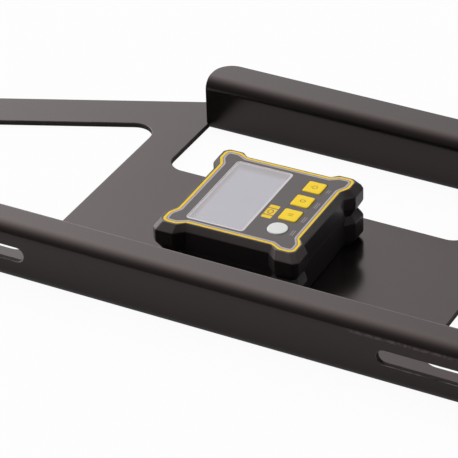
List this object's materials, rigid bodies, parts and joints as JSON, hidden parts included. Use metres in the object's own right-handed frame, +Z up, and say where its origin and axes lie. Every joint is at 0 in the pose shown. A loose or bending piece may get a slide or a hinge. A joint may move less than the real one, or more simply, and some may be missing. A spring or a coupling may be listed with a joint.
{
  "type": "camber caster gauge",
  "caption": "Digital camber and caster gauge: a square level box held by magnets on a long folded steel bracket with a handle and sliding rim pegs.",
  "frame": {"origin": "on the underside of the bracket plate, at the middle of its length and under the middle of the level box (1.3 mm in front of the box centre)", "axes": "+X along the bracket towards the keys of the level box, +Y from the slotted front flange towards the handle, +Z up out of the display"},
  "size_m": [0.53, 0.2091, 0.03],
  "materials": {
    "coated_steel": "semi-gloss black powder coat",
    "case_black": "fine matt moulding texture",
    "overlay_grey": "satin printed film",
    "clear_lens": "clear acrylic",
    "display_grey": "liquid crystal glass, switched off",
    "frame_white": "white moulding",
    "board_green": "solder mask",
    "chip_black": "moulded black",
    "sensor_metal": "plated can",
    "screw_steel": "zinc plated",
    "key_yellow": "soft satin",
    "key_pale": "soft satin",
    "cell_jacket": "printed jacket",
    "contact_brass": "plated spring brass",
    "magnet_nickel": "nickel plated",
    "peg_aluminium": "turned, clear anodised",
    "tip_nylon": "natural nylon",
    "nut_black": "black anodised"
  },
  "bodies": {
    "bracket": {"folded_bracket": "coated_steel"},
    "level_box": {"front_shell": "case_black", "rear_shell": "case_black", "face_overlay": "overlay_grey", "display_window": "clear_lens", "display_panel": "display_grey", "display_frame": "frame_white", "display_diffuser": "frame_white", "circuit_board": "board_green", "board_chips": "chip_black", "tilt_sensor": "sensor_metal", "buzzer": "chip_black", "key_switches": "chip_black", "board_screws": "screw_steel", "shell_screws": "screw_steel", "batteries": "cell_jacket", "battery_contacts": "contact_brass", "battery_springs": "screw_steel", "back_magnets": "magnet_nickel"},
    "power_button": {"power_key": "key_yellow"},
    "zero_button": {"zero_key": "key_yellow"},
    "hold_button": {"hold_key": "key_yellow"},
    "lamp_button": {"lamp_key": "key_pale"},
    "door": {"battery_door": "case_black"},
    "left_carriage": {"left_peg": "peg_aluminium", "left_peg_stud": "screw_steel", "left_rim_tip": "tip_nylon", "left_front_washer": "screw_steel"},
    "left_clamp": {"left_back_washer": "screw_steel"},
    "left_nut": {"left_thumb_nut": "nut_black"},
    "right_carriage": {"right_peg": "peg_aluminium", "right_peg_stud": "screw_steel", "right_rim_tip": "tip_nylon", "right_front_washer": "screw_steel"},
    "right_clamp": {"right_back_washer": "screw_steel"},
    "right_nut": {"right_thumb_nut": "nut_black"}
  },
  "joints": [
    {"name": "level_box_lift", "type": "slide", "parent": "bracket", "child": "level_box", "axis": [0, 0, 1], "range_m": [0, 0.05]},
    {"name": "door_slide", "type": "slide", "parent": "level_box", "child": "door", "axis": [-0.0209, 0.9998, 0], "range_m": [0, 0.02]},
    {"name": "power_press", "type": "slide", "parent": "level_box", "child": "power_button", "axis": [0, 0, -1], "range_m": [0, 0.0004], "stiffness_N_per_m": 1500},
    {"name": "zero_press", "type": "slide", "parent": "level_box", "child": "zero_button", "axis": [0, 0, -1], "range_m": [0, 0.0004], "stiffness_N_per_m": 1500},
    {"name": "hold_press", "type": "slide", "parent": "level_box", "child": "hold_button", "axis": [0, 0, -1], "range_m": [0, 0.0004], "stiffness_N_per_m": 1500},
    {"name": "lamp_press", "type": "slide", "parent": "level_box", "child": "lamp_button", "axis": [0, 0, -1], "range_m": [0, 0.0004], "stiffness_N_per_m": 1500},
    {"name": "left_peg_slide", "type": "slide", "parent": "bracket", "child": "left_carriage", "axis": [1, 0, 0], "range_m": [-0.0418, 0.1172]},
    {"name": "left_clamp_release", "type": "slide", "parent": "left_carriage", "child": "left_clamp", "axis": [0, 1, 0], "range_m": [0, 0.001]},
    {"name": "left_nut_turn", "type": "hinge", "parent": "left_clamp", "child": "left_nut", "pos_m": [-0.2, -0.0457, 0.0137], "axis": [0, 1, 0], "range_deg": [0, 360]},
    {"name": "right_peg_slide", "type": "slide", "parent": "bracket", "child": "right_carriage", "axis": [1, 0, 0], "range_m": [-0.1172, 0.0418]},
    {"name": "right_clamp_release", "type": "slide", "parent": "right_carriage", "child": "right_clamp", "axis": [0, 1, 0], "range_m": [0, 0.001]},
    {"name": "right_nut_turn", "type": "hinge", "parent": "right_clamp", "child": "right_nut", "pos_m": [0.2, -0.0457, 0.0137], "axis": [0, 1, 0], "range_deg": [0, 360]}
  ],
  "couplings": [
    {"joint": "left_clamp_release", "follows": "left_nut_turn", "m_per_rad": 0.00015915},
    {"joint": "right_clamp_release", "follows": "right_nut_turn", "m_per_rad": 0.00015915}
  ]
}
